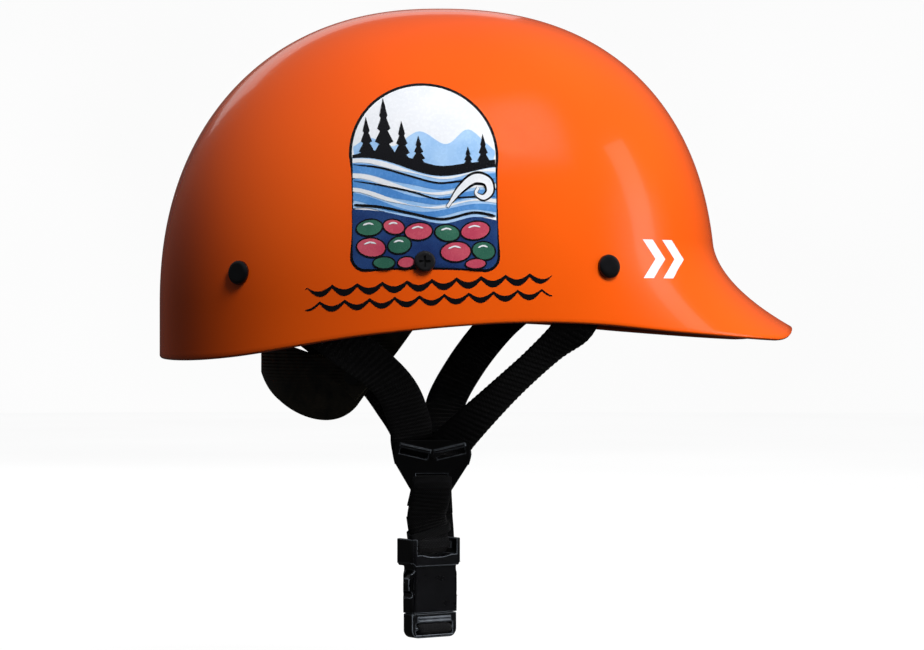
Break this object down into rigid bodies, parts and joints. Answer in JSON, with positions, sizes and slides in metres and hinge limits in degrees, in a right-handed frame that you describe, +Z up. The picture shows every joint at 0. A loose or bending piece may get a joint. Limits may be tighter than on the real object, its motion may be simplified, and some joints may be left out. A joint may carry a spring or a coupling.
{
  "type": "water helmet",
  "caption": "Glossy whitewater half-cut helmet with a short peak, foam liner, nape cradle and a four-point webbing chin harness closed by a side-release buckle.",
  "frame": {"origin": "centre of the head opening at the height of the side rims", "axes": "+X forward to the peak, +Y to the wearer's left, +Z up to the crown"},
  "size_m": [0.309, 0.228, 0.3079],
  "materials": {
    "shell": "glossy moulded orange",
    "foam": "matte closed-cell EVA foam",
    "pad_cloth": "brushed loop fabric",
    "hardware": "black moulded nylon",
    "screw": "black oxide steel",
    "spacer": "satin",
    "nut": "zinc plated",
    "cradle_plastic": "flexible moulded black",
    "webbing": "woven black polyester",
    "buckle": "satin moulded acetal"
  },
  "bodies": {
    "helmet": {"outer_shell": "shell", "liner_crown": "foam", "liner_front": "foam", "liner_rear": "foam", "liner_left": "foam", "liner_right": "foam", "pad_crown": "pad_cloth", "pad_front": "pad_cloth", "pad_rear": "pad_cloth", "pad_left": "pad_cloth", "pad_right": "pad_cloth", "anchor_rivets": "hardware", "anchor_nuts": "hardware", "cradle_screws": "screw", "cradle_spacers": "spacer", "cradle_nuts": "nut", "anchor_strap_front_right": "webbing", "anchor_strap_rear_right": "webbing", "anchor_strap_front_left": "webbing", "anchor_strap_rear_left": "webbing"},
    "cradle": {"cradle_cup": "cradle_plastic", "cradle_pad": "pad_cloth", "cradle_arm_right": "cradle_plastic", "cradle_arm_left": "cradle_plastic", "cradle_studs": "hardware"},
    "harness_right": {"front_strap_right": "webbing", "rear_strap_right": "webbing", "divider_right": "buckle"},
    "harness_left": {"front_strap_left": "webbing", "rear_strap_left": "webbing", "divider_left": "buckle"},
    "chin": {"chin_strap_right": "webbing", "chin_strap_left": "webbing", "strap_keeper": "webbing", "buckle_socket": "buckle"},
    "tongue": {"buckle_tongue": "buckle"},
    "prong_front": {"buckle_prong_front": "buckle"},
    "prong_rear": {"buckle_prong_rear": "buckle"}
  },
  "joints": [
    {"name": "cradle_tilt", "type": "hinge", "parent": "helmet", "child": "cradle", "pos_m": [-0.0144, 0, 0.0272], "axis": [0, 1, 0], "range_deg": [-8, 8]},
    {"name": "right_sway", "type": "hinge", "parent": "helmet", "child": "harness_right", "pos_m": [-0.053, -0.097, -0.008], "axis": [0.9989, 0, 0.0462], "range_deg": [-8, 8], "deforming": ["anchor_strap_front_right", "anchor_strap_rear_right", "front_strap_right", "rear_strap_right", "chin_strap_right"]},
    {"name": "left_sway", "type": "hinge", "parent": "helmet", "child": "harness_left", "pos_m": [-0.053, 0.097, -0.008], "axis": [0.9985, 0, 0.0549], "range_deg": [-8.5, 8.5], "deforming": ["anchor_strap_front_left", "anchor_strap_rear_left", "front_strap_left", "rear_strap_left"]},
    {"name": "chin_swing", "type": "hinge", "parent": "harness_right", "child": "chin", "pos_m": [-0.0058, -0.0375, -0.079], "axis": [1, 0, 0], "range_deg": [-22, 22]},
    {"name": "buckle_release", "type": "slide", "parent": "chin", "child": "tongue", "axis": [0, 0, -1], "range_m": [0, 0.03], "deforming": ["chin_strap_left", "buckle_prong_front", "buckle_prong_rear"]},
    {"name": "prong_front_squeeze", "type": "hinge", "parent": "tongue", "child": "prong_front", "pos_m": [0.0021, -0.0159, -0.1417], "axis": [0.5, -0.866, 0], "range_deg": [0, 8], "stiffness_Nm_per_rad": 0.3},
    {"name": "prong_rear_squeeze", "type": "hinge", "parent": "tongue", "child": "prong_rear", "pos_m": [-0.0121, -0.0241, -0.1417], "axis": [-0.5, 0.866, 0], "range_deg": [0, 8], "stiffness_Nm_per_rad": 0.3}
  ],
  "couplings": [
    {"joint": "left_sway", "follows": "right_sway", "ratio": 1},
    {"joint": "chin_swing", "follows": "right_sway", "ratio": -2.5867},
    {"joint": "prong_rear_squeeze", "follows": "prong_front_squeeze", "ratio": 1}
  ]
}
